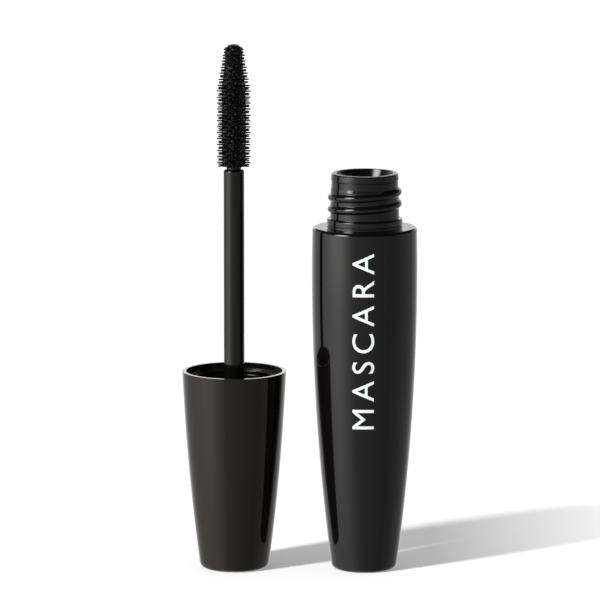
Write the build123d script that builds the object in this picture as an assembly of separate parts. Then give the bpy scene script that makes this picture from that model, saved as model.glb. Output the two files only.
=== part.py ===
from build123d import *
import os
from math import sqrt

# Mascara tube, opened: the bottle stands on its base, and the screw cap with its wand and brush
# stands upside down on its closed end beside it. Millimetres, +Z up, and the origin is the centre
# of the bottle's base. Every piece is turned about one of two upright axes, the bottle's and the
# cap's, so most of them are revolved outlines given as (radius, height) points.

# ---- Bottle: thick-walled, with a side that is one long arc ----
shoulder_height = 76.0
barrel_radius_max = 11.57
barrel_belly_height = 66.0
barrel_arc_radius = 491.0
barrel_wall = 2.0
base_corner_radius = 1.2
shoulder_edge_radius = 0.7
base_thickness = 2.4
inner_shoulder_height = 73.2

# ---- Neck and its right-handed, rounded, single-start thread ----
neck_height = 11.9
neck_foot_radius = 7.6
neck_radius = 7.45
neck_bore_radius = 6.12
collar_radius = 8.28
collar_height = 2.0
collar_groove_height = 0.35
collar_groove_depth = 0.15
rim_band_height = 1.5
rim_bead = 0.12
rim_band_radius = 7.2
rim_seat_radius = 6.65
rim_seat_depth = 0.95
thread_pitch = 2.6
thread_crest_radius = 8.12
thread_round_radius = 0.85
thread_start_height = 3.28
thread_start_angle = 90.0
thread_turns = 2.3

# ---- Wiper: the flanged sleeve pressed into the neck ----
wiper_flange_radius = 6.6
wiper_sleeve_radius = 6.1
wiper_bore_radius = 5.2
wiper_mouth_radius = 6.25
wiper_funnel_depth = 2.6
wiper_orifice_radius = 2.35
wiper_wall = 0.9
wiper_length = 14.0
wiper_cone_length = 5.0
wiper_lip_length = 1.2

# ---- Mascara paste, with the channel that the brush leaves in it ----
paste_level = 64.0
paste_channel_radius = 4.1
paste_channel_floor = 0.5
paste_gap = 0.05

# ---- Cap, measured from the closed end that it stands on ----
cap_spacing = 28.6
cap_setback = 1.05
cap_height = 43.9
cap_rim_radius = 11.43
cap_arc_radius = 480.0
cap_belly_height = 64.3
cap_wall = 0.85
cap_corner_radius = 1.2
cap_end_thickness = 1.6

# ---- Inner cap: the threaded insert that holds the stem ----
insert_recess = 1.4
insert_flange_radius = 10.45
insert_flange_thickness = 1.1
insert_radius = 9.3
insert_bore_radius = 8.3
insert_mouth_radius = 8.6
insert_mouth_depth = 1.0
insert_seat_height = 30.3
insert_floor_thickness = 1.5
insert_boss_radius = 3.6
insert_boss_end = 16.0
insert_thread_radius = 7.75
insert_thread_round_radius = 0.8
insert_thread_turns = 1.5
insert_thread_start_height = 35.6
rib_count = 6
rib_thickness = 1.0
rib_reach = 8.0
rib_end = 20.0

# ---- Sealing washer ----
washer_radius = 8.0
washer_thickness = 1.2
washer_stem_gap = 0.08

# ---- Stem, brush core and bristles ----
stem_radius = 2.27
stem_foot = 18.0
stem_top = 88.56
stem_top_round = 0.55
stem_socket_radius = 1.0
stem_socket_depth = 9.0
fit_gap = 0.02
core_collar_radius = 1.6
core_collar_height = 0.45
core_tip = 114.6
sleeve_radius = 2.05
brush_tip = 116.07
bristle_first_ring = 89.36
bristle_ring_spacing = 0.654
bristle_rings = 40
bristles_per_ring = 8
bristle_root_radius = 0.25
bristle_tip_radius = 0.12
bristle_reach = 3.68
brush_taper_start = 106.3
brush_end_reach = 1.95

# Which way a cylinder or cone extends from the point that places it
BOTTOM = (Align.CENTER, Align.CENTER, Align.MIN)
TOP = (Align.CENTER, Align.CENTER, Align.MAX)


def arc_drop(radius, offset):
    """How far a circle of this radius has fallen away from its highest point, at an offset from it."""
    return radius - sqrt(radius**2 - offset**2)


def barrel_radius(height):
    """Outer radius of the bottle at a height above its base."""
    return barrel_radius_max - arc_drop(barrel_arc_radius, height - barrel_belly_height)


def cap_radius(height):
    """Outer radius of the cap at a height above its closed end."""
    rim_drop = arc_drop(cap_arc_radius, cap_height - cap_belly_height)
    return cap_rim_radius + rim_drop - arc_drop(cap_arc_radius, height - cap_belly_height)


def side_arc(radius_at, low, high, inset=0.0):
    """The long arc of a side, from a low to a high height, moved inwards by a wall thickness."""
    points = [(radius_at(h) - inset, h) for h in (low, (low + high) / 2, high)]
    return ThreePointArc(*points)


def turned(*edges):
    """A solid of revolution about the Z axis from a closed outline in (radius, height)."""
    return revolve(make_face(Plane.XZ * Curve(edges)), Axis.Z)


def turned_outline(points):
    """A solid of revolution from straight-sided (radius, height) corners."""
    return revolve(make_face(Plane.XZ * Polyline(*points, close=True)), Axis.Z)


def round_edge(solid, radius, height, round_radius):
    """Round the circular edge that lies nearest to a radius and a height."""
    circles = solid.edges().filter_by(GeomType.CIRCLE)
    edge = min(circles, key=lambda e: abs(e.radius - radius) + abs(e.arc_center.Z - height))
    return fillet(edge, round_radius)


def helical_ridge(centre_radius, round_radius, start_height, turns, start_angle):
    """A round-section rib along a right-handed helix, with ball ends."""
    path = Edge.make_helix(thread_pitch, thread_pitch * turns, centre_radius)
    section = Plane(origin=path @ 0, z_dir=path % 0) * Circle(round_radius)
    rib = sweep(section, path, is_frenet=True)
    rib += Pos(path @ 0) * Sphere(round_radius)
    rib += Pos(path @ 1) * Sphere(round_radius)
    return Pos(0, 0, start_height) * Rot(0, 0, start_angle) * rib


def make_bottle():
    """One moulded bottle: barrel, flat shoulder, collar and threaded neck, bored through the neck."""
    neck_top = shoulder_height + neck_height
    side = side_arc(barrel_radius, 0, shoulder_height)
    barrel = turned(
        Line((0, 0), side @ 0),
        side,
        Line(side @ 1, (0, shoulder_height)),
        Line((0, shoulder_height), (0, 0)),
    )
    barrel = round_edge(barrel, barrel_radius(0), 0, base_corner_radius)
    barrel = round_edge(barrel, barrel_radius(shoulder_height), shoulder_height, shoulder_edge_radius)
    band_foot = neck_top - rim_band_height
    neck = turned_outline([
        (0, shoulder_height - 1),
        (collar_radius, shoulder_height - 1),
        (collar_radius, shoulder_height + collar_height),
        (neck_foot_radius, shoulder_height + collar_height),
        (neck_radius, band_foot),
        (neck_radius + rim_bead, band_foot),
        (neck_radius + rim_bead, band_foot + 0.2),
        (rim_band_radius, neck_top),
        (0, neck_top),
    ])
    neck = round_edge(neck, collar_radius, shoulder_height + collar_height, 0.35)
    neck += helical_ridge(thread_crest_radius - thread_round_radius, thread_round_radius,
                          shoulder_height + thread_start_height, thread_turns, thread_start_angle)
    inner_side = side_arc(barrel_radius, base_thickness, inner_shoulder_height - 4, barrel_wall)
    hollow = turned(
        Line((0, base_thickness), inner_side @ 0),
        inner_side,
        Line(inner_side @ 1, (neck_bore_radius, inner_shoulder_height)),
        Line((neck_bore_radius, inner_shoulder_height), (neck_bore_radius, neck_top + 1)),
        Line((neck_bore_radius, neck_top + 1), (0, neck_top + 1)),
        Line((0, neck_top + 1), (0, base_thickness)),
    )
    seat = Pos(0, 0, neck_top - rim_seat_depth) * Cylinder(rim_seat_radius, 2, align=BOTTOM)
    groove = Cylinder(collar_radius + 1, collar_groove_height, align=BOTTOM)
    groove -= Cylinder(collar_radius - collar_groove_depth, collar_groove_height, align=BOTTOM)
    groove = Pos(0, 0, shoulder_height + 0.35) * groove
    return barrel + neck - hollow - seat - groove


def make_wiper():
    """The flanged sleeve in the neck: a funnel mouth, and a lower cone with the lip that wipes the stem."""
    top = shoulder_height + neck_height + 0.02
    cone_top = top - wiper_length + wiper_cone_length + wiper_lip_length
    bottom = top - wiper_length
    return turned_outline([
        (wiper_mouth_radius, top),
        (wiper_flange_radius, top),
        (wiper_flange_radius, top - rim_seat_depth + 0.03),
        (wiper_sleeve_radius, top - rim_seat_depth + 0.03),
        (wiper_sleeve_radius, cone_top - 0.6),
        (wiper_orifice_radius + wiper_wall, bottom + wiper_lip_length - 0.5),
        (wiper_orifice_radius + wiper_wall - 0.2, bottom),
        (wiper_orifice_radius, bottom),
        (wiper_orifice_radius, bottom + wiper_lip_length),
        (wiper_bore_radius, cone_top),
        (wiper_bore_radius, top - wiper_funnel_depth),
    ])


def make_paste():
    """The paste that fills the bottle, round the open channel that the brush moves in."""
    low = base_thickness + paste_gap
    side = side_arc(barrel_radius, low, paste_level, barrel_wall + paste_gap)
    body = turned(
        Line((0, low), side @ 0),
        side,
        Line(side @ 1, (0, paste_level)),
        Line((0, paste_level), (0, low)),
    )
    channel = Cylinder(paste_channel_radius, paste_level, align=BOTTOM)
    return body - Pos(0, 0, low + paste_channel_floor) * channel


def make_outer_cap():
    """The cap's outer shell, a tall thin cup whose side is one long arc."""
    side = side_arc(cap_radius, 0, cap_height)
    shell = turned(
        Line((0, 0), side @ 0),
        side,
        Line(side @ 1, (0, cap_height)),
        Line((0, cap_height), (0, 0)),
    )
    shell = round_edge(shell, cap_radius(0), 0, cap_corner_radius)
    inner_side = side_arc(cap_radius, cap_end_thickness, cap_height, cap_wall)
    hollow = turned(
        Line((0, cap_end_thickness), inner_side @ 0),
        inner_side,
        Line(inner_side @ 1, (0, cap_height)),
        Line((0, cap_height), (0, cap_end_thickness)),
    )
    shell -= hollow
    return round_edge(shell, cap_radius(cap_height), cap_height, 0.25)


def make_inner_cap():
    """The threaded insert: flanged cup with an inside thread, stem boss and ribs behind its floor."""
    top = cap_height - insert_recess
    floor_back = insert_seat_height - insert_floor_thickness
    bore = insert_bore_radius
    cup = turned_outline([
        (insert_mouth_radius, top),
        (insert_flange_radius, top),
        (insert_flange_radius - 0.03, top - insert_flange_thickness),
        (insert_radius, top - insert_flange_thickness),
        (insert_radius - 0.3, floor_back),
        (insert_boss_radius, floor_back),
        (insert_boss_radius - 0.3, insert_boss_end),
        (0, insert_boss_end),
        (0, insert_seat_height),
        (bore, insert_seat_height),
        (bore, top - insert_mouth_depth),
        (insert_mouth_radius, top - insert_mouth_depth),
    ])
    ridge = helical_ridge(insert_thread_radius + insert_thread_round_radius, insert_thread_round_radius,
                          insert_thread_start_height, insert_thread_turns, 0.0)
    ridge = ridge & Cylinder(bore + 0.5, 200)
    rib = Pos(rib_reach / 2, 0, (rib_end + floor_back) / 2)
    rib *= Box(rib_reach, rib_thickness, floor_back - rib_end + 0.2)
    ribs = [Rot(0, 0, 360 / rib_count * i) * rib for i in range(rib_count)]
    stem_hole = Pos(0, 0, stem_foot - fit_gap) * Cylinder(stem_radius + fit_gap, 60, align=BOTTOM)
    return cup + ridge + ribs - stem_hole


def make_washer():
    """The sealing washer on the inner cap's seat, which the neck's rim presses on when closed."""
    ring = Cylinder(washer_radius, washer_thickness, align=BOTTOM)
    ring -= Cylinder(stem_radius + washer_stem_gap, washer_thickness, align=BOTTOM)
    return Pos(0, 0, insert_seat_height + 0.02) * ring


def make_stem():
    """The round wand, rounded at its top and bored there for the brush's plug."""
    stem = Pos(0, 0, stem_foot) * Cylinder(stem_radius, stem_top - stem_foot, align=BOTTOM)
    stem = round_edge(stem, stem_radius, stem_top, stem_top_round)
    stem = round_edge(stem, stem_radius, stem_foot, 0.3)
    socket = Cylinder(stem_socket_radius + fit_gap, stem_socket_depth, align=TOP)
    return stem - Pos(0, 0, stem_top) * socket


def make_brush_core():
    """The stiff core: a plug in the stem's socket, a collar on its top and the rod in the brush."""
    collar_top = stem_top + fit_gap + core_collar_height
    return turned_outline([
        (0, stem_top - stem_socket_depth + 0.3),
        (stem_socket_radius - 0.3, stem_top - stem_socket_depth + 0.3),
        (stem_socket_radius, stem_top - stem_socket_depth + 0.9),
        (stem_socket_radius, stem_top + fit_gap),
        (core_collar_radius, stem_top + fit_gap),
        (core_collar_radius, collar_top),
        (stem_socket_radius, collar_top),
        (stem_socket_radius - 0.2, core_tip),
        (0, core_tip),
    ])


def bristle_length(height):
    """How far from the axis a bristle at this height reaches; the brush tapers towards its tip."""
    if height < brush_taper_start:
        return bristle_reach
    along = (height - brush_taper_start) / (brush_tip - brush_taper_start)
    return bristle_reach - (bristle_reach - brush_end_reach) * along


def make_bristles():
    """The soft sleeve moulded over the core, with its rings of tapered bristles and domed tip."""
    low = stem_top + 2 * fit_gap + core_collar_height
    sleeve = Pos(0, 0, low) * Cylinder(sleeve_radius, brush_tip - low, align=BOTTOM)
    sleeve = round_edge(sleeve, sleeve_radius, brush_tip, 1.3)
    cones = []
    for ring in range(bristle_rings):
        height = bristle_first_ring + bristle_ring_spacing * ring
        reach = bristle_length(height)
        root = sleeve_radius - 0.15
        cone = Cone(bristle_root_radius, bristle_tip_radius, reach - root, align=BOTTOM)
        outward = Pos(root, 0, 0) * Rot(0, 90, 0) * cone
        stagger = 180 / bristles_per_ring * ((ring + 1) % 2)
        for i in range(bristles_per_ring):
            cones.append(Pos(0, 0, height) * Rot(0, 0, stagger + 360 / bristles_per_ring * i) * outward)
    rod = turned_outline([
        (0, low - 1),
        (stem_socket_radius + fit_gap, low - 1),
        (stem_socket_radius + fit_gap, low),
        (stem_socket_radius - 0.2 + fit_gap, core_tip + fit_gap),
        (0, core_tip + fit_gap),
    ])
    return sleeve + cones - rod


beside = Pos(-cap_spacing, cap_setback, 0)

pieces = {
    "bottle": make_bottle(),
    "wiper": make_wiper(),
    "mascara_paste": make_paste(),
    "outer_cap": beside * make_outer_cap(),
    "inner_cap": beside * make_inner_cap(),
    "sealing_washer": beside * make_washer(),
    "stem": beside * make_stem(),
    "brush_core": beside * make_brush_core(),
    "brush_bristles": beside * make_bristles(),
}

os.makedirs("parts", exist_ok=True)
for name, solid in pieces.items():
    export_step(solid, f"parts/{name}.step")
    print(name, round(solid.volume / 1000, 3), "ml")
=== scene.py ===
# %% [markdown]
# # A mascara tube, opened
#
# The bottle stands on its base and the screw cap stands upside down beside it, holding the stem and the
# brush. Almost every piece was made in a turned mould, so almost every piece here is one outline carried
# round an upright axis. The CAD model gives the sizes and the places; this script gives the finish.

# %% Load the frame
import math
import bmesh
import bpy
import numpy as np
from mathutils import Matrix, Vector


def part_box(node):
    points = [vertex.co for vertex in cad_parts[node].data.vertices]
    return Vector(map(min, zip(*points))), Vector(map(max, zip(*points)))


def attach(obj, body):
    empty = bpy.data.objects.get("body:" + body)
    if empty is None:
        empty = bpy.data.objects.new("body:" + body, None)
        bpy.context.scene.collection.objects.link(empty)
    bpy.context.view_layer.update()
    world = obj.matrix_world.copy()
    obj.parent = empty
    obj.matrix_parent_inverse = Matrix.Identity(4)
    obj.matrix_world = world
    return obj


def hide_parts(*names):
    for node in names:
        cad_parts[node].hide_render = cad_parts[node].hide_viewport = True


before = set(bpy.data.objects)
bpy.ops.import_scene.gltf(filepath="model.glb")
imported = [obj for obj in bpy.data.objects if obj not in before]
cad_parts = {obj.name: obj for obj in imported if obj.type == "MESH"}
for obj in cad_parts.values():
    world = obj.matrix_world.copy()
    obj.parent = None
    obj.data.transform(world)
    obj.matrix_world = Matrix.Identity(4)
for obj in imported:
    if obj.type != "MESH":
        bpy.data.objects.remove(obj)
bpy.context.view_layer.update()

MM = 0.001
FRAME_PLACE = {node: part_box(node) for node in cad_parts}
print("CAD nodes:", ", ".join(sorted(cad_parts)))

# %% [markdown]
# ## Where the two axes are
#
# The bottle's axis is the frame's own. The cap's axis is the middle of the stem's box, so nothing has to
# be typed in twice: heights that matter are read from the CAD boxes too, and only the shapes between
# them are given here, in millimetres.

# %% Axes and heights from the CAD boxes
stem_low, stem_high = FRAME_PLACE["stem"]
CAP_X = (stem_low.x + stem_high.x) / 2 / MM
CAP_Y = (stem_low.y + stem_high.y) / 2 / MM
NECK_TOP = FRAME_PLACE["bottle"][1].z / MM
CAP_RIM = FRAME_PLACE["outer_cap"][1].z / MM
STEM_FOOT, STEM_TOP = stem_low.z / MM, stem_high.z / MM
BRUSH_TIP = FRAME_PLACE["brush_bristles"][1].z / MM
WIPER_TOP = FRAME_PLACE["wiper"][1].z / MM
WIPER_FOOT = FRAME_PLACE["wiper"][0].z / MM
print(f"cap axis at {CAP_X:.2f}, {CAP_Y:.2f} mm")
print(f"tops: neck {NECK_TOP:.2f}, cap rim {CAP_RIM:.2f}, brush {BRUSH_TIP:.2f} mm")

# %% [markdown]
# ## From an outline to a mesh
#
# A turned piece could be made with Blender's Spin or Screw tool, but a grid is easier to control. The
# outline is an array of (radius, height) points, the turn is an array of angles, and their product is
# the whole surface at once. A piece can then bulge by any function of height and angle, which is how
# the screw threads and the ribs are made.

# %% Rounded outlines
CORNER_STEPS = 5
GUARD = 0.06


def rounded_outline(corners, closed=False):
    """The outline through (radius, height, rounding) corners. A corner with a rounding becomes a circular
    arc that touches both its sides, rounding * tan(turn / 2) from the corner. Each straight run gets a
    guard point near either end, so that smooth shading stays flat on the flats."""
    p = np.array([c[:2] for c in corners], float)
    rounding = np.array([c[2] if len(c) > 2 else 0.0 for c in corners])
    before, after = np.roll(p, 1, 0), np.roll(p, -1, 0)
    points = []
    for i, corner in enumerate(p):
        at_end = not closed and i in (0, len(p) - 1)
        if rounding[i] == 0 or at_end:
            points.append(corner[None])
            continue
        u = (corner - before[i]) / np.linalg.norm(corner - before[i])
        v = (after[i] - corner) / np.linalg.norm(after[i] - corner)
        turn = math.atan2(u[0] * v[1] - u[1] * v[0], u @ v)
        reach = rounding[i] * math.tan(abs(turn) / 2)
        side = np.array([-u[1], u[0]]) * math.copysign(rounding[i], turn)
        centre = corner - u * reach + side
        angle = np.linspace(0, turn, CORNER_STEPS)[:, None]
        arc = centre - side * np.cos(angle) - np.array([-side[1], side[0]]) * np.sin(angle)
        points.append(arc)
    ring = points + [points[0][:1]] if closed else points
    guarded = []
    for this, following in zip(ring[:-1], ring[1:]):
        guarded.append(this)
        run = following[0] - this[-1]
        length = np.linalg.norm(run)
        if length > 5 * GUARD:
            guarded.append(this[-1] + run * np.array([[GUARD / length], [1 - GUARD / length]]))
    if not closed:
        guarded.append(ring[-1])
    return np.concatenate(guarded)


def finely_spaced(outline, low, high, step, radius_limits):
    """The outline with its nearly upright run between two heights divided into steps of the same length."""
    keep = (outline[:, 1] <= low) | (outline[:, 1] >= high)
    keep |= (outline[:, 0] < radius_limits[0]) | (outline[:, 0] > radius_limits[1])
    first = np.flatnonzero(~keep)
    if len(first):
        start, end = first[0], first[-1] + 1
    else:
        crossing = (outline[:-1, 1] - low) * (outline[1:, 1] - high) <= 0
        inside = (outline[:-1, 0] >= radius_limits[0]) & (outline[:-1, 0] <= radius_limits[1])
        start = end = np.flatnonzero(crossing & inside)[0] + 1
    a, b = outline[start - 1], outline[end]
    count = int(abs(b[1] - a[1]) / step)
    t = np.linspace(0, 1, count + 2)[1:-1, None]
    return np.concatenate([outline[:start], a + (b - a) * t, outline[end:]])


# %% Grids and turned surfaces
def grid_faces(rows, columns, wrap_rows):
    """The quads of a grid that closes round its columns, and round its rows too if asked: corner (r, c)
    is vertex r * columns + c."""
    r = np.arange(rows if wrap_rows else rows - 1)[:, None]
    c = np.arange(columns)[None]
    next_r, next_c = (r + 1) % rows, (c + 1) % columns
    quads = [r * columns + c, r * columns + next_c, next_r * columns + next_c, next_r * columns + c]
    return np.stack(quads, -1).reshape(-1, 4)


def outward(vertices, faces):
    """The faces, all turned over if the volume that they close, a sum of a . (b x c) over their corners,
    comes out negative."""
    a, b, c = (vertices[faces[:, k]] for k in range(3))
    d = vertices[faces[:, -1]]
    six_volumes = np.einsum("ij,ij->i", a, np.cross(b, c)) + np.einsum("ij,ij->i", a, np.cross(c, d))
    return faces if six_volumes.sum() > 0 else faces[:, ::-1]


def turned(outline, segments, swell=None, axis=(0.0, 0.0)):
    """A surface of revolution: point (i, j) is the outline's radius i, plus what swell(angle, height,
    radius) adds, turned to angle j about the axis. An outline that starts and ends at radius 0 closes in
    two poles, and any other closes on itself, like a ring."""
    angle = np.linspace(0, 2 * np.pi, segments, endpoint=False)[None]
    poles = outline[0, 0] == 0 and outline[-1, 0] == 0
    rings = outline[1:-1] if poles else outline
    radius, height = rings[:, :1] + 0 * angle, rings[:, 1:] + 0 * angle
    if swell is not None:
        radius = radius + swell(angle + 0 * radius, height, radius)
    points = np.stack([axis[0] + radius * np.cos(angle), axis[1] + radius * np.sin(angle), height], -1)
    vertices = points.reshape(-1, 3)
    faces = grid_faces(len(rings), segments, wrap_rows=not poles)
    if poles:
        count = len(vertices)
        ends = [[*axis, outline[0, 1]], [*axis, outline[-1, 1]]]
        vertices = np.concatenate([vertices, ends])
        j = np.arange(segments)
        k = (j + 1) % segments
        last = (len(rings) - 1) * segments
        bottom = np.stack([0 * j + count, k, j, 0 * j + count], -1)
        top = np.stack([0 * j + count + 1, last + j, last + k, 0 * j + count + 1], -1)
        faces = np.concatenate([faces, bottom, top])
    return vertices, outward(vertices, faces)


# %% Mesh objects
def as_piece(name, shape, body, material, replaced):
    """Puts a (vertices in mm, faces) shape into a smooth mesh object that rides on a CAD body. A face whose
    first and last corner are the same is a triangle at a pole."""
    vertices, faces = shape
    corners = [face[:3] if face[0] == face[3] else face for face in faces.tolist()]
    mesh = bpy.data.meshes.new(name)
    mesh.from_pydata((vertices * MM).tolist(), [], corners)
    mesh.polygons.foreach_set("use_smooth", np.ones(len(mesh.polygons), bool))
    mesh.materials.append(material)
    mesh.update()
    piece = bpy.data.objects.new(name, mesh)
    bpy.context.scene.collection.objects.link(piece)
    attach(piece, body)
    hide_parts(*replaced)
    size = np.ptp(vertices, 0)
    print(f"{name}: {len(vertices)} vertices, {size[0]:.2f} x {size[1]:.2f} x {size[2]:.2f} mm")


# %% [markdown]
# ## Materials
#
# Every piece is some black plastic, so the differences are small: how glossy the mould was, how soft the
# plastic is, and how warm its black is. Each material starts from the plastic's usual refractive index
# and the finish that its mould leaves, and carries a faint unevenness at its real size.

# %% Colours and nodes
def linear(hex_colour):
    """A hex sRGB colour as linear RGBA: c / 12.92 up to 0.04045, and ((c + 0.055) / 1.055)^2.4 above."""
    c = np.array([int(hex_colour[i:i + 2], 16) for i in (1, 3, 5)]) / 255
    rgb = np.where(c <= 0.04045, c / 12.92, ((c + 0.055) / 1.055) ** 2.4)
    return (*rgb.tolist(), 1.0)


def add_node(tree, kind, inputs=None, **options):
    """One node of a kind, with its options set, and its inputs given a value or linked to a socket."""
    node = tree.nodes.new("ShaderNode" + kind)
    for option, value in options.items():
        setattr(node, option, value)
    for socket, value in (inputs or {}).items():
        if isinstance(value, bpy.types.NodeSocket):
            tree.links.new(value, node.inputs[socket])
        else:
            node.inputs[socket].default_value = value
    return node


def per_metre(millimetres):
    """The scale that makes a noise's features this many millimetres across."""
    return 1000 / millimetres


def new_material(name):
    """An empty material with its node tree, and the Object coordinates that its patterns read."""
    material = bpy.data.materials.new(name)
    material.use_nodes = True
    material.node_tree.nodes.clear()
    place = add_node(material.node_tree, "TexCoord").outputs["Object"]
    return material, material.node_tree, place


def finish_material(tree, inputs):
    """A Principled shader with these inputs, joined to the output."""
    shader = add_node(tree, "BsdfPrincipled", inputs)
    add_node(tree, "OutputMaterial", {"Surface": shader.outputs["BSDF"]})


# %% Moulded plastics
def moulded_plastic(name, colour, tint, roughness, wave_size, grain_size, ior, gleam="#FFFFFF"):
    """A black moulded plastic: its colour drifts a little towards a tint, its gloss varies by a fifth, and
    its surface has slow waves from cooling under a fine grain from the mould. Both sizes are
    (width, height) pairs in mm, and the gleam is the tint of its reflections."""
    material, tree, place = new_material(name)
    waves = add_node(tree, "TexNoise", {"Vector": place, "Scale": per_metre(wave_size[0]), "Detail": 1.0})
    grain = add_node(tree, "TexNoise", {"Vector": place, "Scale": per_metre(grain_size[0]), "Detail": 3.0})
    drift = add_node(tree, "Mix", {"Factor": waves.outputs["Fac"], "A": linear(colour), "B": linear(tint)},
                     data_type="RGBA")
    gloss = add_node(tree, "MapRange", {"Value": grain.outputs["Fac"], "From Min": 0.3, "From Max": 0.7,
                                        "To Min": roughness * 0.9, "To Max": roughness * 1.1})
    slow = add_node(tree, "Bump", {"Height": waves.outputs["Fac"], "Strength": 1.0,
                                   "Distance": wave_size[1] * MM})
    fine = add_node(tree, "Bump", {"Height": grain.outputs["Fac"], "Strength": 1.0,
                                   "Distance": grain_size[1] * MM, "Normal": slow.outputs["Normal"]})
    finish_material(tree, {"Base Color": drift.outputs["Result"], "Roughness": gloss.outputs["Result"],
                           "IOR": ior, "Specular Tint": linear(gleam), "Normal": fine.outputs["Normal"]})
    return material


# Blow-moulded PETG in a polished mould: a deep black with a mirror-like skin.
petg_black = moulded_plastic("blow_moulded_petg", "#040304", "#050404", 0.05,
                             (9.0, 0.0012), (0.5, 0.00003), 1.5)
# Injection-moulded ABS, polished: the same gloss, on a slightly warmer black.
abs_black = moulded_plastic("moulded_abs", "#060403", "#070504", 0.07,
                            (8.0, 0.0012), (0.5, 0.00003), 1.5, gleam="#FFF7EC")
# Moulded polypropylene: the insert inside the cap, smooth and as glossy as the shell.
pp_black = moulded_plastic("moulded_polypropylene", "#030303", "#040403", 0.05,
                           (4.0, 0.002), (0.3, 0.0001), 1.49)
# Moulded acetal: the stem is straight from a polished bore, a little less glossy than the bottle.
pom_black = moulded_plastic("moulded_acetal", "#040403", "#050504", 0.09,
                            (5.0, 0.0015), (0.3, 0.00006), 1.48)
# Moulded LDPE: the soft wiper, with a satin skin that shines in its funnel.
ldpe_black = moulded_plastic("moulded_ldpe", "#040303", "#050404", 0.16,
                             (3.0, 0.002), (0.3, 0.0001), 1.51)
# Pressed nitrile rubber: the washer is the dullest piece.
nbr_black = moulded_plastic("pressed_nitrile_rubber", "#080808", "#0A0A0A", 0.5,
                            (1.0, 0.004), (0.15, 0.001), 1.52)
plastics = [petg_black, abs_black, pp_black, pom_black, ldpe_black, nbr_black]
print("plastics:", ", ".join(plastic.name for plastic in plastics))

# %% [markdown]
# ## The bottle
#
# A blow-moulded bottle is one piece with walls about 2 mm thick: a barrel whose side is one very long
# arc, a flat shoulder with a rounded edge, a low collar, and the neck with its rounded thread. Its
# outline runs from the middle of the base, up the outside, over the rim and down the inside.

# %% Bottle outline
SHOULDER = 76.0
BELLY_RADIUS, BELLY_HEIGHT, BARREL_ARC = 11.57, 66, 491
BOTTLE_WALL = 2.0
COLLAR_RADIUS, GROOVE_RADIUS = 8.28, 8.13
RIM_SEAT_RADIUS, NECK_BORE = 6.65, 6.12


def barrel_radius(height):
    """A circular arc of radius 491 mm whose widest point, 11.57 mm from the axis, is 66 mm up."""
    return BELLY_RADIUS - (BARREL_ARC - np.sqrt(BARREL_ARC**2 - (height - BELLY_HEIGHT) ** 2))


outside = [(barrel_radius(z), z) for z in np.linspace(2.5, 74.5, 31)]
inside = [(barrel_radius(z) - BOTTLE_WALL, z) for z in np.linspace(69.2, 4.0, 16)]
bottle_outline = rounded_outline(
    [(0, 0), (barrel_radius(0), 0, 1.2), *outside, (barrel_radius(SHOULDER), SHOULDER, 0.7)]
    + [(COLLAR_RADIUS, SHOULDER, 0.1), (COLLAR_RADIUS, SHOULDER + 0.4, 0.04)]
    + [(GROOVE_RADIUS, SHOULDER + 0.45, 0.04), (GROOVE_RADIUS, SHOULDER + 0.65, 0.04)]
    + [(COLLAR_RADIUS, SHOULDER + 0.7, 0.04), (COLLAR_RADIUS, SHOULDER + 2.0, 0.35)]
    + [(7.58, SHOULDER + 2.0, 0.15), (7.5, SHOULDER + 8.2, 0.4), (7.34, SHOULDER + 8.9, 0.4)]
    + [(7.32, NECK_TOP - 1.72, 0.05), (7.22, NECK_TOP - 1.62, 0.04), (7.22, NECK_TOP - 1.5, 0.03)]
    + [(7.46, NECK_TOP - 1.42, 0.05), (7.42, NECK_TOP - 1.1, 0.2), (7.34, NECK_TOP - 0.25, 0.1)]
    + [(7.18, NECK_TOP, 0.06), (RIM_SEAT_RADIUS, NECK_TOP, 0.05)]
    + [(RIM_SEAT_RADIUS, NECK_TOP - 0.95, 0.1), (NECK_BORE, NECK_TOP - 0.95, 0.1)]
    + [(NECK_BORE, SHOULDER - 2.8, 0.5), *inside, (barrel_radius(2.4) - BOTTLE_WALL, 2.4, 1.0), (0, 2.4)]
)
bottle_outline = finely_spaced(bottle_outline, SHOULDER + 2.25, SHOULDER + 8.0, 0.09, (7.45, 7.62))
bottle_outline = finely_spaced(bottle_outline, SHOULDER + 9.05, NECK_TOP - 1.78, 0.09, (7.25, 7.4))
print("bottle outline:", len(bottle_outline), "points")

# %% [markdown]
# ## The thread
#
# The thread is a round rib along a right-handed helix: one start, 2.2 turns, 2.6 mm of pitch. A Screw
# modifier would leave a separate rib with open ends. Here the rib is added to the neck's radius instead,
# so neck and thread are one skin: at each angle the helix has a height for every turn, and the rib
# stands out by a circle's half-chord around that height. The circle sinks at both ends, as the cutter
# that made the mould did, and a small soft foot blends it into the neck.

# %% Thread as a swelling of the radius
PITCH = 2.6
FOOT_REACH, FOOT_SOFTNESS, FOOT_LEVEL = 1.3, 0.05, 0.004


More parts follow.
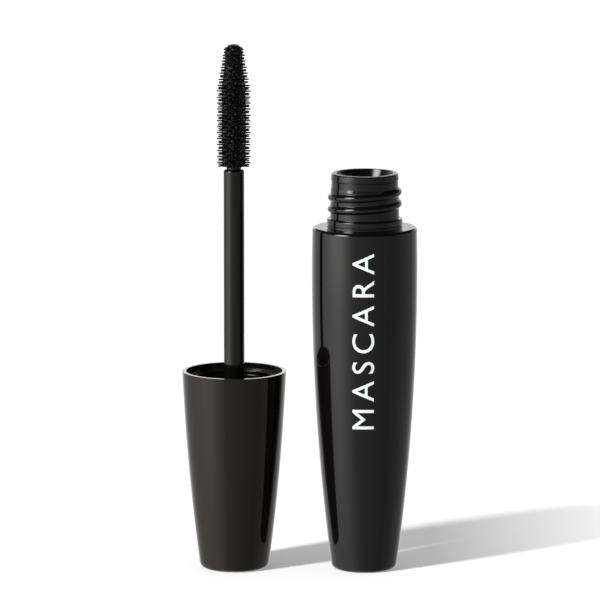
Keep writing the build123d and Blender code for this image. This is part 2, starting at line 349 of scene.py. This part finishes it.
def helix_rib(angle, height, start_height, start_angle, turns, round_radius, sunk, fades=(0.09, 0.09)):
    """How far a round rib stands out. At turn t of the helix, its middle is at start + pitch * t, and it
    stands out by b = sqrt(radius^2 - (height - middle)^2) - sunk. The circle sinks further over the two
    fades, the parts of a turn at the start and the end of the helix. The soft foot is
    (b + sqrt(b^2 + softness^2)) / 2, which is nearly b on the rib and nearly 0 beside it."""
    out = np.zeros_like(height)
    first = (angle / (2 * np.pi) - start_angle / 360) % 1.0
    for turn in range(int(turns) + 2):
        t = first + turn
        on = (t <= turns).astype(float)
        ends = np.clip(np.minimum(t / fades[0], (turns - t) / fades[1]), 0, 1)
        ends = ends * ends * (3 - 2 * ends)
        offset = height - (start_height + PITCH * t)
        circle = np.sqrt(np.clip(round_radius**2 - offset**2, 0, None))
        circle = circle - np.clip(np.abs(offset) - round_radius, 0, None)
        bulge = circle - sunk - (1 - ends) * (round_radius - sunk)
        soft = (bulge + np.sqrt(bulge**2 + FOOT_SOFTNESS**2)) / 2 - FOOT_LEVEL
        out = np.maximum(out, on * np.where(np.abs(offset) < FOOT_REACH, np.clip(soft, 0, None), 0))
    return out


def neck_thread(angle, height, radius):
    """The thread's rib, on the neck's outside only."""
    rib = helix_rib(angle, height, start_height=SHOULDER + 3.28, start_angle=90.0, turns=2.24,
                    round_radius=0.85, sunk=0.25, fades=(0.09, 0.2))
    on_neck = (radius > 7.3) & (height > SHOULDER + 2.25) & (height < NECK_TOP - 1.6)
    return np.where(on_neck, rib, 0.0)


as_piece("threaded_bottle", turned(bottle_outline, 256, neck_thread), "bottle_body",
         petg_black, ["bottle"])

# %% [markdown]
# ## The wiper and the paste
#
# The wiper is a soft sleeve pushed into the neck. Its flange lies in the rim, its mouth is a shallow
# funnel, and deep inside it narrows to the lip that wipes the stem. The paste below is seen only as a
# dark gleam through that lip, so the CAD solid stays and gets a wet black finish.

# %% Wiper
wiper_corners = [(6.25, WIPER_TOP, 0.12), (6.58, WIPER_TOP, 0.06), (6.58, WIPER_TOP - 0.93, 0.1)]
wiper_corners += [(6.1, WIPER_TOP - 0.93, 0.1), (6.1, WIPER_FOOT + 5.6, 0.8), (3.25, WIPER_FOOT + 0.7, 0.6)]
wiper_corners += [(3.05, WIPER_FOOT, 0.25), (2.35, WIPER_FOOT, 0.2), (2.35, WIPER_FOOT + 1.2, 0.4)]
wiper_corners += [(5.2, WIPER_FOOT + 6.2, 1.2), (5.2, WIPER_TOP - 2.6, 0.8)]
as_piece("wiper_sleeve", turned(rounded_outline(wiper_corners, closed=True), 180), "bottle_body",
         ldpe_black, ["wiper"])

# %% Paste
paste_material, paste_tree, paste_place = new_material("mascara_paste_wet")
# A wax and pigment emulsion: the deepest black, wet on top, with folds where the brush has stirred it.
folds = add_node(paste_tree, "TexNoise", {"Vector": paste_place, "Scale": per_metre(2.2), "Detail": 4.0})
stirred = add_node(paste_tree, "Bump", {"Height": folds.outputs["Fac"], "Strength": 1.0,
                                        "Distance": 0.4 * MM})
finish_material(paste_tree, {"Base Color": linear("#050505"), "Roughness": 0.22, "IOR": 1.45,
                             "Coat Weight": 0.4, "Coat Roughness": 0.08,
                             "Normal": stirred.outputs["Normal"]})
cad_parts["mascara_paste"].data.materials.clear()
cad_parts["mascara_paste"].data.materials.append(paste_material)
print("paste: the CAD solid, in", paste_material.name)

# %% [markdown]
# ## The cap
#
# The cap is two mouldings: a thin glossy shell, and the threaded insert snapped into it. The shell's side
# is another long arc, which carries the bottle's line on when the tube is closed. The insert sits 1.4 mm
# below the rim, and is what shows as fine steps and a thread inside the mouth.

# %% Cap shell
CAP_ARC, CAP_BELLY, CAP_RIM_RADIUS, CAP_WALL = 480, 64.3, 11.43, 0.85


def cap_radius(height):
    """A circular arc of radius 480 mm that reaches 11.43 mm from the axis at the rim. Its widest point
    would be 64.3 mm up, above the rim."""
    rim_drop = CAP_ARC - math.sqrt(CAP_ARC**2 - (CAP_RIM - CAP_BELLY) ** 2)
    return CAP_RIM_RADIUS + rim_drop - (CAP_ARC - np.sqrt(CAP_ARC**2 - (height - CAP_BELLY) ** 2))


cap_outside = [(cap_radius(z), z) for z in np.linspace(2.5, CAP_RIM - 1.0, 25)]
cap_inside = [(cap_radius(z) - CAP_WALL, z) for z in np.linspace(CAP_RIM - 1.0, 3.5, 14)]
cap_outline = rounded_outline(
    [(0, 0), (cap_radius(0), 0, 1.2), *cap_outside, (cap_radius(CAP_RIM), CAP_RIM, 0.06)]
    + [(cap_radius(CAP_RIM) - CAP_WALL, CAP_RIM, 0.05), *cap_inside]
    + [(cap_radius(1.6) - CAP_WALL, 1.6, 0.8), (0, 1.6)]
)
cap_axis = (CAP_X, CAP_Y)
as_piece("cap_shell", turned(cap_outline, 300, axis=cap_axis), "cap_and_wand",
         abs_black, ["outer_cap"])

# %% Threaded insert
INSERT_TOP = CAP_RIM - 1.4
SEAT = 30.3
RIB_REACH, RIB_HALF_WIDTH = 8.0, 0.5
insert_corners = [(0, SEAT), (8.3, SEAT, 0.2), (8.3, INSERT_TOP - 1.0, 0.08), (8.6, INSERT_TOP - 1.0, 0.08)]
insert_corners += [(8.6, INSERT_TOP, 0.18), (10.45, INSERT_TOP, 0.15), (10.42, INSERT_TOP - 1.1, 0.1)]
insert_corners += [(9.3, INSERT_TOP - 1.1, 0.1), (9.0, SEAT - 1.5, 0.3), (3.6, SEAT - 1.5, 0.3)]
insert_corners += [(3.3, 16.0, 0.2), (0, 16.0)]
stem_hole = [(2.29, SEAT, 0.15), (2.29, STEM_FOOT - 0.02, 0.2)]
insert_outline = rounded_outline([(0, STEM_FOOT - 0.02), *stem_hole[::-1], *insert_corners[1:]])
insert_outline = finely_spaced(insert_outline, SEAT + 0.3, INSERT_TOP - 1.15, 0.08, (8.25, 8.35))


def insert_swell(angle, height, radius):
    """The inside thread, which takes the bore's radius in, and six ribs that take the boss's radius out to
    8 mm above its lower part. A rib stands where 8 * |sin(3 * angle)| / 3, the way from the nearest rib's
    middle in mm, is under half a rib's width."""
    rib = helix_rib(angle, height, start_height=35.6, start_angle=0.0, turns=1.5,
                    round_radius=0.8, sunk=0.25)
    in_bore = (radius > 8.15) & (radius < 8.45) & (height > SEAT + 0.25) & (height < INSERT_TOP - 1.1)
    across = np.abs(np.sin(3 * angle)) / 3 * RIB_REACH
    on_boss = (radius < 3.7) & (radius > 3.2) & (height > 19.9) & (height < SEAT - 1.7)
    on_rib = on_boss & (across < RIB_HALF_WIDTH)
    return np.where(in_bore, -rib, 0.0) + np.where(on_rib, RIB_REACH - radius, 0.0)


insert_outline = finely_spaced(insert_outline, 16.5, SEAT - 1.8, 0.5, (3.2, 3.65))
as_piece("threaded_insert", turned(insert_outline, 288, insert_swell, cap_axis), "cap_and_wand",
         pp_black, ["inner_cap"])

# %% Washer
washer_low, washer_high = (corner.z / MM for corner in FRAME_PLACE["sealing_washer"])
washer_corners = [(2.35, washer_low, 0.1), (8.0, washer_low, 0.15), (8.0, washer_high, 0.15)]
washer_corners += [(2.35, washer_high, 0.15)]
as_piece("rubber_washer", turned(rounded_outline(washer_corners, closed=True), 128, axis=cap_axis),
         "washer_body", nbr_black, ["sealing_washer"])

# %% [markdown]
# ## The wand
#
# The stem is a plain round rod with a rounded top. The brush's stiff core is plugged into it, and shows
# as a thinner neck just above.

# %% Stem and core
stem_corners = [(0, STEM_FOOT), (2.27, STEM_FOOT, 0.3), (2.27, STEM_TOP, 0.55), (1.02, STEM_TOP, 0.05)]
stem_corners += [(1.02, STEM_TOP - 9.0, 0.2), (0, STEM_TOP - 9.0)]
as_piece("wand_stem", turned(rounded_outline(stem_corners), 128, axis=cap_axis), "cap_and_wand",
         pom_black, ["stem"])

core_corners = [(0, STEM_TOP - 8.7), (1.0, STEM_TOP - 8.7, 0.4), (1.0, STEM_TOP + 0.02, 0.02)]
core_corners += [(1.6, STEM_TOP + 0.02, 0.05), (1.6, STEM_TOP + 0.47, 0.08), (1.0, STEM_TOP + 0.47, 0.05)]
core_corners += [(0.8, 114.6, 0.1), (0, 114.6)]
as_piece("brush_rod", turned(rounded_outline(core_corners), 96, axis=cap_axis), "cap_and_wand",
         pp_black, ["brush_core"])

# %% [markdown]
# ## The bristles
#
# The brush is moulded, not twisted from fibre: a soft sleeve, nearly as thick as the stem, with rings of
# tapered spikes, eight to a ring, each ring turned half a step from the last. An array modifier could
# repeat one ring, but moulded spikes are never quite alike, so all of them are worked out in one array
# instead: each is a short tapered tube along its own slightly drooping line. A few short nubs stand on
# the domed tip.

# %% Elastomer
# Moulded elastomer: the spikes are dull, and the sleeve between them is lumpy and catches small glints.
# The lumps are drawn 0.7 mm across, as coarse as they need to be to show.
LUMPS_END, DULL_FROM = 2.2, 2.7
tpe_black, brush_tree, brush_place = new_material("moulded_elastomer")
centred = add_node(brush_tree, "Mapping", {"Vector": brush_place, "Scale": (1, 1, 0),
                                           "Location": (-CAP_X * MM, -CAP_Y * MM, 0)})
from_axis = add_node(brush_tree, "VectorMath", {0: centred.outputs[0]}, operation="LENGTH")
on_spike = add_node(brush_tree, "MapRange", {"Value": from_axis.outputs["Value"],
                                             "From Min": LUMPS_END * MM, "From Max": DULL_FROM * MM})
lumps = add_node(brush_tree, "TexNoise", {"Vector": brush_place, "Scale": per_metre(0.7), "Detail": 1.0})
dull = add_node(brush_tree, "Mix", {"Factor": on_spike.outputs[0], "A": 0.1, "B": 0.5})
lump_depth = add_node(brush_tree, "MapRange", {"Value": on_spike.outputs[0], "To Min": 1.0, "To Max": 0.1})
lumpy = add_node(brush_tree, "Bump", {"Height": lumps.outputs["Fac"], "Strength": lump_depth.outputs[0],
                                      "Distance": 1.0 * MM})
finish_material(brush_tree, {"Base Color": linear("#020202"), "Roughness": dull.outputs[0], "IOR": 1.49,
                             "Specular IOR Level": 0.2, "Normal": lumpy.outputs["Normal"]})
print(f"elastomer: lumpy up to {LUMPS_END} mm from the axis, dull from {DULL_FROM} mm")

# %% Bristles
RING_FIRST, RING_STEP, RINGS, PER_RING = 89.36, 0.654, 40, 8
SPIKE_SIDES = 6
ROOT_DEPTH = 1.8
random = np.random.default_rng(5)


def spikes(roots, directions, lengths, root_radius, tip_radius, droop, foot_flare):
    """Tapered tubes, all at once. Along s from 0 to 1, spike k's centre is root + direction * length * s,
    lowered by droop * s^2, and its radius is root radius + (tip radius - root radius) * s^0.8, plus
    flare * exp(-s / 0.1) at the foot. The last row is drawn in and closed with a point, which rounds the
    end. Returns vertices and faces."""
    s = np.array([0.0, 0.1, 0.22, 0.5, 0.8, 0.95, 1.0])
    width = root_radius + (tip_radius - root_radius) * s**0.8 + foot_flare * np.exp(-s / 0.1)
    width[-1] *= 0.55
    up = np.array([0.0, 0.0, 1.0])
    side = np.cross(directions, up)
    side /= np.linalg.norm(side, axis=1, keepdims=True)
    other = np.cross(side, directions)
    centre = roots[:, None] + directions[:, None] * (lengths[:, None] * s)[..., None]
    centre[..., 2] -= droop[:, None] * s**2
    turn = np.linspace(0, 2 * np.pi, SPIKE_SIDES, endpoint=False)
    around = side[:, None] * np.cos(turn)[:, None] + other[:, None] * np.sin(turn)[:, None]
    points = centre[:, :, None] + width[:, None, None] * around[:, None]
    caps = np.stack([centre[:, 0], centre[:, -1] + directions * tip_radius * 0.5], 1)
    count, layers = len(roots), len(s)
    vertices = np.concatenate([points.reshape(count, -1, 3), caps], 1)
    tube = grid_faces(layers, SPIKE_SIDES, wrap_rows=False)
    j = np.arange(SPIKE_SIDES)
    k = (j + 1) % SPIKE_SIDES
    low, high, last = layers * SPIKE_SIDES, layers * SPIKE_SIDES + 1, (layers - 1) * SPIKE_SIDES
    foot = np.stack([0 * j + low, k, j, 0 * j + low], -1)
    tip = np.stack([0 * j + high, last + j, last + k, 0 * j + high], -1)
    one = np.concatenate([tube, foot, tip])
    faces = (np.arange(count)[:, None, None] * (low + 2) + one[None]).reshape(-1, 4)
    return vertices.reshape(-1, 3), faces


SPIKE_REACH, END_REACH, TAPER_START = 3.68, 1.95, 106.3


def brush_reach(height):
    """How far the spikes reach: 3.68 mm up to 106.3 mm, then a straight taper to 1.95 mm at the tip."""
    along = np.clip((height - TAPER_START) / (BRUSH_TIP - TAPER_START), 0, 1)
    return SPIKE_REACH - (SPIKE_REACH - END_REACH) * along


ring, around = np.meshgrid(np.arange(RINGS), np.arange(PER_RING), indexing="ij")
spike_angle = (2 * np.pi / PER_RING * (around + 0.5 * ((ring + 1) % 2))).ravel()
spike_angle += random.normal(0, 0.008, ring.size)
spike_height = (RING_FIRST + RING_STEP * ring).ravel() + random.normal(0, 0.008, ring.size)
tilt = random.normal(0, 0.01, ring.size)
heading = np.stack([np.cos(spike_angle), np.sin(spike_angle), tilt], -1)
heading /= np.linalg.norm(heading, axis=1, keepdims=True)
roots = np.array([CAP_X, CAP_Y, 0]) + heading * ROOT_DEPTH
roots[:, 2] += spike_height
spike_lengths = brush_reach(spike_height) - ROOT_DEPTH - np.abs(random.normal(0, 0.02, ring.size))
spike_droop = np.abs(random.normal(0, 0.015, ring.size))
spike_shape = spikes(roots, heading, spike_lengths, root_radius=0.28, tip_radius=0.155,
                     droop=spike_droop, foot_flare=0.12)

print("spikes:", ring.size, "in", RINGS, "rings")

# %% Sleeve and tip
sleeve_low = STEM_TOP + 0.51
sleeve_corners = [(0, 114.62), (0.82, 114.62, 0.05), (1.02, sleeve_low, 0.03), (2.03, sleeve_low, 0.12)]
sleeve_corners += [(2.03, 105.0, 0.5), (1.9, BRUSH_TIP - 1.1, 0.5), (1.25, BRUSH_TIP - 0.3, 0.6)]
sleeve_corners += [(0.5, BRUSH_TIP - 0.08, 0.4), (0, BRUSH_TIP - 0.06)]
sleeve_shape = turned(rounded_outline(sleeve_corners), 64, axis=cap_axis)

NUBS_PER_ROW = [8, 7, 4]
nub_angle = np.concatenate([np.arange(8) * np.pi / 4, np.arange(7) * np.pi / 3.5 + 0.3,
                            np.arange(4) * np.pi / 2])
nub_rise = np.repeat([0.35, 0.8, 1.25], NUBS_PER_ROW)
nub_heading = np.stack([np.cos(nub_angle) * np.cos(nub_rise), np.sin(nub_angle) * np.cos(nub_rise),
                        np.sin(nub_rise)], -1)
nub_depth = np.repeat([1.1, 1.0, 0.8], NUBS_PER_ROW)[:, None]
nub_foot = np.array([CAP_X, CAP_Y, BRUSH_TIP - 1.42]) + nub_heading * nub_depth
nub_lengths = np.repeat([0.85, 0.62, 0.48], NUBS_PER_ROW)
nub_shape = spikes(nub_foot, nub_heading, nub_lengths, root_radius=0.27, tip_radius=0.14, droop=0 * nub_rise,
                   foot_flare=0.1)


def joined(shapes):
    """Several (vertices, faces) shapes as one, each one's indices moved past those before it."""
    starts = np.cumsum([0] + [len(v) for v, _ in shapes[:-1]])
    faces = [f + start for (_, f), start in zip(shapes, starts)]
    return np.concatenate([v for v, _ in shapes]), np.concatenate(faces)


as_piece("brush_spikes", joined([sleeve_shape, spike_shape, nub_shape]), "cap_and_wand",
         tpe_black, ["brush_bristles"])

# %% [markdown]
# ## The printed word
#
# The bottle carries one word up its front in white ink: a generic name for what is inside. Screen ink is
# a layer about 0.02 mm thick. Blender's own font is laid out flat with a little depth, cut into narrow
# strips, and then wrapped: distance across becomes an angle round the barrel, and depth becomes radius.

# %% A flat word
WORD, WORD_HEIGHT, WORD_MIDDLE, WORD_SHIFT = "MASCARA", 5.0, 52.3, 0.4
CAPITAL_PER_SIZE = 0.73
FLAT_DEPTH = 0.025
ACROSS_CUTS = np.arange(-1.0, 6.0, 0.35)
ALONG_CUTS = np.arange(-24.0, 24.0, 3.0)


def flat_word(text, letter_height):
    """The word as a thin closed mesh in mm, letters upright in x and y. A capital is 0.73 of the size."""
    curve = bpy.data.curves.new("word_outline", "FONT")
    curve.body = text
    curve.size = letter_height / CAPITAL_PER_SIZE
    curve.space_character = 1.4
    curve.extrude = FLAT_DEPTH
    curve.resolution_u = 8
    curve.align_x = "CENTER"
    holder = bpy.data.objects.new("word_outline", curve)
    bpy.context.scene.collection.objects.link(holder)
    bpy.context.view_layer.update()
    flat = bpy.data.meshes.new_from_object(holder.evaluated_get(bpy.context.evaluated_depsgraph_get()))
    bpy.data.objects.remove(holder)
    return flat


def cut_into_strips(flat, name):
    """The mesh cut along lines of equal y and then of equal x, so that it has points enough to bend."""
    work = bmesh.new()
    work.from_mesh(flat)
    bmesh.ops.remove_doubles(work, verts=work.verts, dist=1e-5)
    cuts = [((0, y, 0), (0, 1, 0)) for y in ACROSS_CUTS] + [((x, 0, 0), (1, 0, 0)) for x in ALONG_CUTS]
    for place, facing in cuts:
        whole = work.verts[:] + work.edges[:] + work.faces[:]
        bmesh.ops.bisect_plane(work, geom=whole, plane_co=place, plane_no=facing)
    bmesh.ops.triangulate(work, faces=work.faces[:])
    strips = bpy.data.meshes.new(name)
    work.to_mesh(strips)
    work.free()
    return strips


word_mesh = cut_into_strips(flat_word(WORD, WORD_HEIGHT), "printed_word")
print("flat word:", len(word_mesh.vertices), "vertices")

# %% Wrap the word round the barrel
INK_OUTSIDE, INK_INSIDE = 0.018, 0.02


def wrap_round_barrel(mesh):
    """Bends the flat word round the bottle and gives its length in mm. A point's x becomes its height up
    the barrel; its y over the barrel's radius there becomes an angle leftwards from the front; and its
    radius is the barrel's plus 0.018 mm for the upper face, and minus 0.02 mm for the lower one."""
    points = np.empty(len(mesh.vertices) * 3, np.float32)
    mesh.vertices.foreach_get("co", points)
    points = points.reshape(-1, 3).astype(float)
    across = points[:, 1] - np.ptp(points[:, 1]) / 2 - points[:, 1].min()
    height = WORD_MIDDLE + points[:, 0] - (points[:, 0].max() + points[:, 0].min()) / 2
    skin = barrel_radius(height)
    angle = -np.pi / 2 - (across + WORD_SHIFT) / skin
    radius = skin + np.where(points[:, 2] > 0, INK_OUTSIDE, -INK_INSIDE)
    wrapped = np.stack([radius * np.cos(angle), radius * np.sin(angle), height], -1) * MM
    mesh.vertices.foreach_set("co", wrapped.ravel())
    mesh.update()
    return np.ptp(points[:, 0])


word_length = wrap_round_barrel(word_mesh)
print(f"wrapped word: {word_length:.1f} mm long")

# %% Screen ink
ink_material, ink_tree, ink_place = new_material("screen_printed_ink")
# White screen ink: opaque, satin, with the fine mesh of the screen left in its surface.
mesh_marks = add_node(ink_tree, "TexNoise", {"Vector": ink_place, "Scale": per_metre(0.25), "Detail": 2.0})
ink_shade = add_node(ink_tree, "Mix", {"Factor": mesh_marks.outputs["Fac"], "A": linear("#A3A9A7"),
                                       "B": linear("#AFB5B3")}, data_type="RGBA")
ink_bump = add_node(ink_tree, "Bump", {"Height": mesh_marks.outputs["Fac"], "Distance": 0.002 * MM})
finish_material(ink_tree, {"Base Color": ink_shade.outputs["Result"], "Roughness": 0.45, "IOR": 1.5,
                           "Normal": ink_bump.outputs["Normal"]})
word_mesh.materials.append(ink_material)
word = bpy.data.objects.new("printed_word", word_mesh)
bpy.context.scene.collection.objects.link(word)
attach(word, "bottle_body")
print("printed word: on the bottle, in", ink_material.name)

# %% [markdown]
# ## Camera
#
# A long lens from about 1.2 m, looking down by nine degrees, so the two tall pieces keep their upright
# sides. The whole frame is floor: there is no horizon.

# %% Camera
LENS, SENSOR, LOOK_DOWN = 337.4, 36.0, 9.26
camera_data = bpy.data.cameras.new("camera")
camera_data.lens = LENS
camera_data.sensor_width = SENSOR
camera_data.clip_end = 50.0
camera = bpy.data.objects.new("camera", camera_data)
camera.location = (-14.15 * MM, -1216 * MM, 258 * MM)
camera.rotation_euler = (math.radians(90 - LOOK_DOWN), 0, 0)
bpy.context.scene.collection.objects.link(camera)
bpy.context.scene.camera = camera
print(f"camera: lens {LENS} mm on a {SENSOR} mm sensor, {LOOK_DOWN} degrees down")

# %% [markdown]
# ## Floor
#
# A sheet of matt white paper fills the frame. It is lit past white wherever no shadow falls, so its tone
# shows in the shadow only. A shadow fades as other light reaches it: the paper's glow is painted light that
# lifts its shadows a little, and more towards the right, as a second lamp would. Reflections don't see it,
# because the painted surround below has the paper in it already.

# %% Floor
# The paper's painted glow, which lifts its shadows: its strength at the left and at the right, and the x in
# mm over which it rises.
GLOW_LEFT, GLOW_RIGHT = 0.245, 0.71
GLOW_FROM_X, GLOW_TO_X = 16, 62
floor_points = np.array([[-3, -3, 0], [3, -3, 0], [3, 3, 0], [-3, 3, 0]], float)
floor_mesh = bpy.data.meshes.new("floor")
floor_mesh.from_pydata(floor_points.tolist(), [], [(0, 1, 2, 3)])
floor_material, floor_tree, floor_place = new_material("pale_paper_sweep")
# Matt paper: no gloss, and a painted glow that lifts its shadows, rising from the cap's side of the bottle
# to the right of it.
floor_part = add_node(floor_tree, "SeparateXYZ", {"Vector": floor_place})
rightward = add_node(floor_tree, "MapRange", {"Value": floor_part.outputs["X"],
                                              "From Min": GLOW_FROM_X * MM, "From Max": GLOW_TO_X * MM})
# Painted light: the glow's strength, which lightens the shadow more towards the right.
painted_fill_light = add_node(floor_tree, "MapRange", {"Value": rightward.outputs["Result"],
                                               "To Min": GLOW_LEFT, "To Max": GLOW_RIGHT})
finish_material(floor_tree, {"Base Color": linear("#BFBFBF"), "Roughness": 1.0, "Specular IOR Level": 0.0,
                             "Emission Color": (1, 1, 1, 1),
                             "Emission Strength": painted_fill_light.outputs["Result"]})
floor_mesh.materials.append(floor_material)
floor = bpy.data.objects.new("floor", floor_mesh)
floor.visible_glossy = False
bpy.context.scene.collection.objects.link(floor)
print("floor:", np.ptp(floor_points[:, 0]), "m across, in", floor_material.name)

# %% [markdown]
# ## Light
#
# One lamp stands in front and to the left, and casts the shadow. Glossy black shows nothing but what it
# reflects, so the surroundings matter more than the lamp: a broad bright panel to the left, a dim studio
# in front and to the right, and the white paper behind. Real panels could be modelled, but here they are
# painted into the world as a function of direction, so they stay in place whatever moves. Reflections see
# this surround, the camera sees white, and matt surfaces get an even light. The lamp itself is hidden
# from reflections, where a round glow with soft edges stands in for it, a little higher and farther round.

# %% Lamp
LAMP_AZIMUTH, LAMP_ELEVATION = math.radians(-53), math.radians(22)
lamp = bpy.data.lights.new("soft_box", "SUN")
lamp.angle, lamp.energy = math.radians(7), 8.9
lamp_holder = bpy.data.objects.new("soft_box", lamp)
lamp_holder.rotation_euler = (math.pi / 2 - LAMP_ELEVATION, 0, LAMP_AZIMUTH)
lamp_holder.visible_glossy = False
bpy.context.scene.collection.objects.link(lamp_holder)
print(f"lamp: energy {lamp.energy:.1f}, {math.degrees(lamp.angle):.0f} degrees across")

# %% Directions in the sky
LOW_SINE, HIGH_SINE = -0.5, 0.5
world = bpy.data.worlds.new("studio")
world.use_nodes = True
bpy.context.scene.world = world
sky = world.node_tree
sky.nodes.clear()
direction = add_node(sky, "TexCoord").outputs["Generated"]
part = add_node(sky, "SeparateXYZ", {"Vector": direction})
toward_camera = add_node(sky, "Math", {0: part.outputs["Y"], 1: -1.0}, operation="MULTIPLY")
azimuth = add_node(sky, "Math", {0: part.outputs["X"], 1: toward_camera.outputs[0]}, operation="ARCTAN2")
azimuth_unit = add_node(sky, "MapRange", {"Value": azimuth.outputs[0],
                                          "From Min": -math.pi, "From Max": math.pi})
height_unit = add_node(sky, "MapRange", {"Value": part.outputs["Z"],
                                         "From Min": LOW_SINE, "From Max": HIGH_SINE})
print("sky: azimuth and sine of the elevation, each from 0 to 1")

# %% Painted brightness
STORED = 3


def brightness_ramp(value, stops, low, high, colour=(1.0, 1.0, 1.0)):
    """Straight lines through (x, brightness) stops, whose x runs from low to high as the value goes from 0
    to 1. The stored colour is the brightness / 3, to leave room for brightnesses over 1."""
    ramp = add_node(sky, "ValToRGB", {"Fac": value})
    elements = ramp.color_ramp.elements
    elements.remove(elements[1])
    for number, (x, brightness) in enumerate(stops):
        position = (x - low) / (high - low)
        element = elements.new(position) if number else elements[0]
        element.position = position
        element.color = (*(brightness / STORED * c for c in colour), 1)
    return ramp.outputs["Color"]


def product(a, b):
    """Two stored brightnesses multiplied. Each is the real one / 3, so their product is scaled by 3."""
    both = add_node(sky, "VectorMath", {0: a, 1: b}, operation="MULTIPLY")
    scaled = add_node(sky, "VectorMath", {0: both.outputs[0], "Scale": float(STORED)}, operation="SCALE")
    return scaled.outputs[0]


# %% Studio and panel
# Azimuth in degrees: 0 is the camera's side, and negative is to the left.
studio_stops = [(-180, 1.15), (-160, 0.95), (-139, 0.62), (-123, 0.62), (-110, 0.68), (-94, 0.76)]
studio_stops += [(-80, 0.8), (-64, 0.86), (-53, 0.88), (-42, 0.82), (-34, 0.72), (-28, 0.64)]
studio_stops += [(-17, 0.48), (0, 0.4), (15, 0.345), (36, 0.31), (55, 0.26), (76, 0.31), (100, 0.38)]
studio_stops += [(125, 0.38), (145, 0.58), (160, 0.9), (180, 1.15)]
panel_stops = [(-110, 0.0), (-94, 0.35), (-80, 0.8), (-72, 1.2), (-64, 1.3), (-56, 1.2), (-49, 0.85)]
panel_stops += [(-42, 0.42), (-28, 0.04), (-18, 0.0)]
# By the sine of the elevation. The panel fades downwards and upwards from just above the horizon.
panel_height_stops = [(-0.5, 0.0), (-0.42, 0.04), (-0.31, 0.32), (-0.18, 0.7), (-0.148, 1.0), (0.0, 1.5)]
panel_height_stops += [(0.12, 1.3), (0.25, 0.6), (0.4, 0.1), (0.5, 0.05)]
# Above the paper and the panel the room is dark, but for a bright band along the paper's upper edge.
studio_height_stops = [(-0.5, 1.0), (0.08, 1.0), (0.148, 0.95), (0.18, 1.9), (0.23, 1.2), (0.3, 0.45)]
studio_height_stops += [(0.4, 0.15), (0.5, 0.06)]
WARM_WHITE = (1.0, 0.985, 0.94)
studio = brightness_ramp(azimuth_unit.outputs[0], studio_stops, -180, 180)
panel = brightness_ramp(azimuth_unit.outputs[0], panel_stops, -180, 180, WARM_WHITE)
panel_height = brightness_ramp(height_unit.outputs[0], panel_height_stops, LOW_SINE, HIGH_SINE)
studio_height = brightness_ramp(height_unit.outputs[0], studio_height_stops, LOW_SINE, HIGH_SINE)
print("studio:", len(studio_stops), "stops round the sky; panel:", len(panel_stops))

# %% Soft box
# The soft box as reflections see it: a round glow, full within 3 degrees of its middle and gone at 19.
BOX_AZIMUTH, BOX_ELEVATION, BOX_BRIGHTNESS = math.radians(-56), math.radians(27), 13.0
BOX_EDGE, BOX_CORE = math.radians(19), math.radians(3)
box_level = math.cos(BOX_ELEVATION)
box_direction = (math.sin(BOX_AZIMUTH) * box_level, -math.cos(BOX_AZIMUTH) * box_level,
                 math.sin(BOX_ELEVATION))
nearness = add_node(sky, "VectorMath", {0: direction, 1: box_direction}, operation="DOT_PRODUCT")
box = add_node(sky, "MapRange", {"Value": nearness.outputs["Value"], "From Min": math.cos(BOX_EDGE),
                                 "From Max": math.cos(BOX_CORE), "To Max": BOX_BRIGHTNESS / STORED},
               interpolation_type="SMOOTHSTEP")
lit_studio = add_node(sky, "VectorMath", {0: product(studio, studio_height),
                                          1: product(panel, panel_height)}, operation="ADD")
surroundings = add_node(sky, "VectorMath", {0: lit_studio.outputs[0], 1: box.outputs[0]}, operation="ADD")
print("soft box: brightness", BOX_BRIGHTNESS)

# %% What each kind of ray sees
AMBIENT, BACKDROP = 0.5, 1.05
rays = add_node(sky, "LightPath")
reflected = add_node(sky, "Background", {"Color": surroundings.outputs[0], "Strength": float(STORED)})
ambient = add_node(sky, "Background", {"Color": (1, 1, 1, 1), "Strength": AMBIENT})
backdrop = add_node(sky, "Background", {"Color": (1, 1, 1, 1), "Strength": BACKDROP})
diffuse_or_seen = add_node(sky, "MixShader", {0: rays.outputs["Is Camera Ray"], 1: ambient.outputs[0],
                                              2: backdrop.outputs[0]})
everything = add_node(sky, "MixShader", {0: rays.outputs["Is Glossy Ray"], 1: diffuse_or_seen.outputs[0],
                                         2: reflected.outputs[0]})
add_node(sky, "OutputWorld", {"Surface": everything.outputs[0]})
bpy.context.scene.view_settings.view_transform = "Standard"
print("world:", len(sky.nodes), "nodes")
